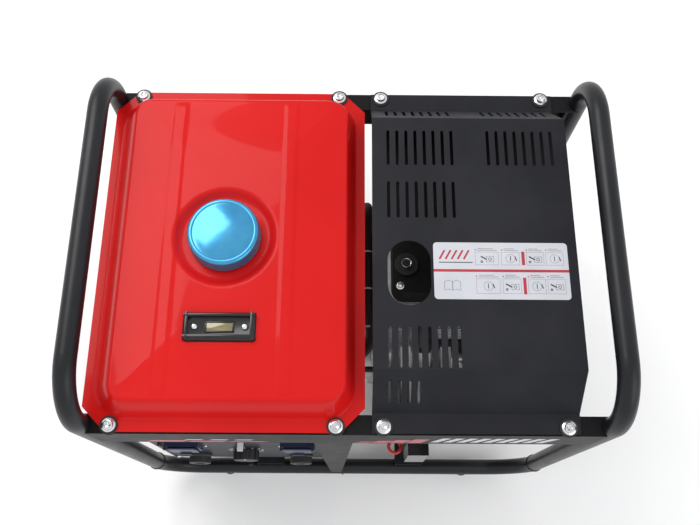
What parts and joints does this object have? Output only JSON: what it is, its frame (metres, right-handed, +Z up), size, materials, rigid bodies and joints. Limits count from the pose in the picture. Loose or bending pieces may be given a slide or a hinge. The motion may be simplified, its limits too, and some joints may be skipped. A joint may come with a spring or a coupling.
{
  "type": "engine driven welder",
  "caption": "Diesel engine driven welder and generator: red tank and black engine cover on an open tube frame with two carrying handles.",
  "frame": {"origin": "on the floor under the middle of the tube frame", "axes": "+X to the engine end, +Z up, -Y to the operator at the control panel"},
  "size_m": [0.72, 0.512, 0.658],
  "materials": {
    "frame_paint": "satin black enamel",
    "tank_paint": "gloss red enamel",
    "cover_paint": "fine satin charcoal powder coat",
    "panel_paint": "satin blue-black powder coat",
    "strut_paint": "satin grey",
    "label_film": "printed white film",
    "cap_film": "chrome under blue protective film",
    "zinc": "bright zinc plate",
    "bright_steel": "machined steel",
    "spring_steel": "plain steel",
    "cast_alloy": "sand cast, unpainted",
    "fin_alloy": "die cast fins",
    "grey_iron": "grey painted iron",
    "copper_winding": "varnished copper winding",
    "exhaust_steel": "heat resisting matt paint",
    "black_rubber": "matt rubber",
    "black_plastic": "moulded, fine texture",
    "blue_plastic": "moulded blue",
    "white_plastic": "moulded white",
    "red_plastic": "moulded red",
    "yellow_plastic": "moulded yellow",
    "clear_plastic": "translucent amber bowl",
    "pale_rubber": "pale grey rubber",
    "brass": "turned brass"
  },
  "bodies": {
    "machine": {"left_hoop": "frame_paint", "right_hoop": "frame_paint", "front_base_tube": "frame_paint", "rear_base_tube": "frame_paint", "front_top_rail": "frame_paint", "rear_top_rail": "frame_paint", "base_beams": "frame_paint", "rubber_feet": "black_rubber", "vibration_mounts": "black_rubber", "front_strut": "strut_paint", "tank_shell": "tank_paint", "tank_pan": "tank_paint", "filler_neck": "zinc", "fuel_strainer": "spring_steel", "gauge_housing": "black_plastic", "fuel_tap": "brass", "fuel_hose": "black_rubber", "fuel_filter": "clear_plastic", "flange_bolts": "zinc", "flange_grommets": "black_rubber", "engine_cover": "cover_paint", "instruction_label": "label_film", "crankcase": "cast_alloy", "engine_barrel": "fin_alloy", "cylinder_head": "fin_alloy", "rocker_cover": "cast_alloy", "muffler": "exhaust_steel", "air_cleaner": "black_plastic", "injection_pump": "cast_alloy", "injector_pipe": "bright_steel", "fan_housing": "frame_paint", "recoil_cover": "frame_paint", "starter_motor": "panel_paint", "bell_housing": "cast_alloy", "stator_housing": "grey_iron", "end_bracket": "cast_alloy", "control_panel": "panel_paint", "ac_sockets": "blue_plastic", "weld_sockets": "brass", "rectifier": "fin_alloy", "charge_regulator": "black_plastic", "battery": "black_plastic", "battery_tray": "frame_paint"},
    "cap_plate": {"cap_plate": "spring_steel"},
    "fuel_cap": {"fuel_cap": "cap_film"},
    "tap_lever": {"fuel_tap_lever": "red_plastic"},
    "decompression_lever": {"decompression_lever": "red_plastic"},
    "dipstick": {"oil_dipstick": "yellow_plastic"},
    "rotating_group": {"flywheel": "grey_iron", "crankshaft": "bright_steel", "alternator_rotor": "copper_winding"},
    "recoil_handle": {"recoil_handle": "black_plastic"},
    "speed_lever": {"speed_lever": "bright_steel"},
    "stop_ring": {"stop_ring": "red_plastic"},
    "left_lid": {"left_socket_lid": "blue_plastic"},
    "right_lid": {"right_socket_lid": "blue_plastic"},
    "toggle": {"breaker_toggle": "white_plastic"},
    "key": {"ignition_key": "black_plastic"},
    "knob": {"current_knob": "black_plastic"},
    "rocker_plug": {"rocker_plug": "pale_rubber"}
  },
  "joints": [
    {"name": "cap_lift", "type": "slide", "parent": "machine", "child": "cap_plate", "axis": [0, 0, 1], "range_m": [0, 0.08]},
    {"name": "cap_turn", "type": "hinge", "parent": "cap_plate", "child": "fuel_cap", "pos_m": [-0.166, 0.003, 0.6185], "axis": [0, 0, 1], "range_deg": [0, 90]},
    {"name": "fuel_tap_turn", "type": "hinge", "parent": "machine", "child": "tap_lever", "pos_m": [-0.02, -0.112, 0.464], "axis": [0, -1, 0], "range_deg": [0, 90]},
    {"name": "decompression", "type": "hinge", "parent": "machine", "child": "decompression_lever", "pos_m": [0.141, -0.05, 0.507], "axis": [0, 1, 0], "range_deg": [0, 60]},
    {"name": "dipstick_draw", "type": "slide", "parent": "machine", "child": "dipstick", "axis": [0, -0.7071, 0.7071], "range_m": [0, 0.12]},
    {"name": "crank_spin", "type": "hinge", "parent": "machine", "child": "rotating_group", "pos_m": [0, 0, 0.243], "axis": [1, 0, 0], "continuous": true},
    {"name": "recoil_pull", "type": "slide", "parent": "machine", "child": "recoil_handle", "axis": [0, -1, 0], "range_m": [0, 0.6]},
    {"name": "speed_set", "type": "hinge", "parent": "machine", "child": "speed_lever", "pos_m": [0.149, -0.106, 0.247], "axis": [0, 1, 0], "range_deg": [-25, 25]},
    {"name": "stop_pull", "type": "slide", "parent": "machine", "child": "stop_ring", "axis": [0, -1, 0], "range_m": [0, 0.02]},
    {"name": "left_lid_open", "type": "hinge", "parent": "machine", "child": "left_lid", "pos_m": [-0.262, -0.2445, 0.321], "axis": [-1, 0, 0], "range_deg": [0, 100]},
    {"name": "right_lid_open", "type": "hinge", "parent": "machine", "child": "right_lid", "pos_m": [-0.078, -0.2445, 0.321], "axis": [-1, 0, 0], "range_deg": [0, 100]},
    {"name": "breaker_throw", "type": "hinge", "parent": "machine", "child": "toggle", "pos_m": [-0.17, -0.226, 0.304], "axis": [1, 0, 0], "range_deg": [-18, 18]},
    {"name": "key_turn", "type": "hinge", "parent": "machine", "child": "key", "pos_m": [-0.272, -0.234, 0.422], "axis": [0, -1, 0], "range_deg": [0, 80]},
    {"name": "current_set", "type": "hinge", "parent": "machine", "child": "knob", "pos_m": [-0.17, -0.234, 0.218], "axis": [0, -1, 0], "range_deg": [0, 270]},
    {"name": "plug_draw", "type": "slide", "parent": "machine", "child": "rocker_plug", "axis": [0, 0, 1], "range_m": [0, 0.03]}
  ]
}
